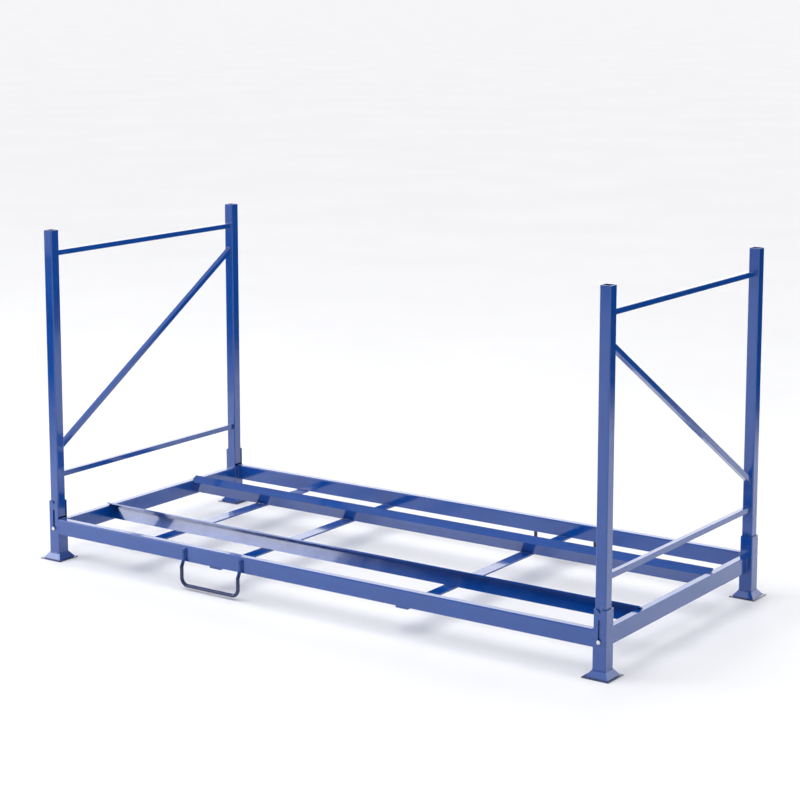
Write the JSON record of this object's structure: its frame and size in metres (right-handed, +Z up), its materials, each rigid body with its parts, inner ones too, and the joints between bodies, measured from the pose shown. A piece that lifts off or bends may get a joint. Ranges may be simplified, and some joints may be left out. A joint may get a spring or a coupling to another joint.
{
  "type": "tyre storage rack",
  "caption": "Stackable steel tyre rack with sloped cradle rails, flared feet, fork loops and two braced end frames that lift in slotted sockets and fold flat.",
  "frame": {"origin": "middle of the footprint, on the floor", "axes": "+X along the rack towards its right-hand end as seen from the front loop side, +Y from front to back, +Z up"},
  "size_m": [2.5, 1.1654, 1.275],
  "materials": {
    "blue_paint": "gloss",
    "zinc": "satin"
  },
  "bodies": {
    "floor_frame": {"front_rail": "blue_paint", "back_rail": "blue_paint", "left_end_rail": "blue_paint", "right_end_rail": "blue_paint", "front_cradle_rail": "blue_paint", "back_cradle_rail": "blue_paint", "left_strap": "blue_paint", "mid_left_strap": "blue_paint", "mid_right_strap": "blue_paint", "socket_front_left": "blue_paint", "socket_front_right": "blue_paint", "socket_back_left": "blue_paint", "socket_back_right": "blue_paint", "foot_front_left": "blue_paint", "foot_front_right": "blue_paint", "foot_back_left": "blue_paint", "foot_back_right": "blue_paint", "stack_stops": "blue_paint", "front_fork_loop": "blue_paint", "back_fork_loop": "blue_paint"},
    "left_pins": {"left_pivot_bolts": "zinc", "left_pivot_nuts": "zinc"},
    "left_end_frame": {"left_front_post": "blue_paint", "left_back_post": "blue_paint", "left_top_bar": "blue_paint", "left_lower_bar": "blue_paint", "left_brace": "blue_paint"},
    "right_pins": {"right_pivot_bolts": "zinc", "right_pivot_nuts": "zinc"},
    "right_end_frame": {"right_front_post": "blue_paint", "right_back_post": "blue_paint", "right_top_bar": "blue_paint", "right_lower_bar": "blue_paint", "right_brace": "blue_paint"}
  },
  "joints": [
    {"name": "left_lift", "type": "slide", "parent": "floor_frame", "child": "left_pins", "axis": [0, 0, 1], "range_m": [0, 0.068]},
    {"name": "left_fold", "type": "hinge", "parent": "left_pins", "child": "left_end_frame", "pos_m": [-1.2, 0, 0.122], "axis": [0, 1, 0], "range_deg": [0, 90]},
    {"name": "right_lift", "type": "slide", "parent": "floor_frame", "child": "right_pins", "axis": [0, 0, 1], "range_m": [0, 0.068]},
    {"name": "right_fold", "type": "hinge", "parent": "right_pins", "child": "right_end_frame", "pos_m": [1.2, 0, 0.122], "axis": [0, -1, 0], "range_deg": [0, 90]}
  ],
  "couplings": [
    {"joint": "left_lift", "follows": "left_fold", "m_per_rad": 0.04329},
    {"joint": "right_lift", "follows": "right_fold", "m_per_rad": 0.04329}
  ]
}
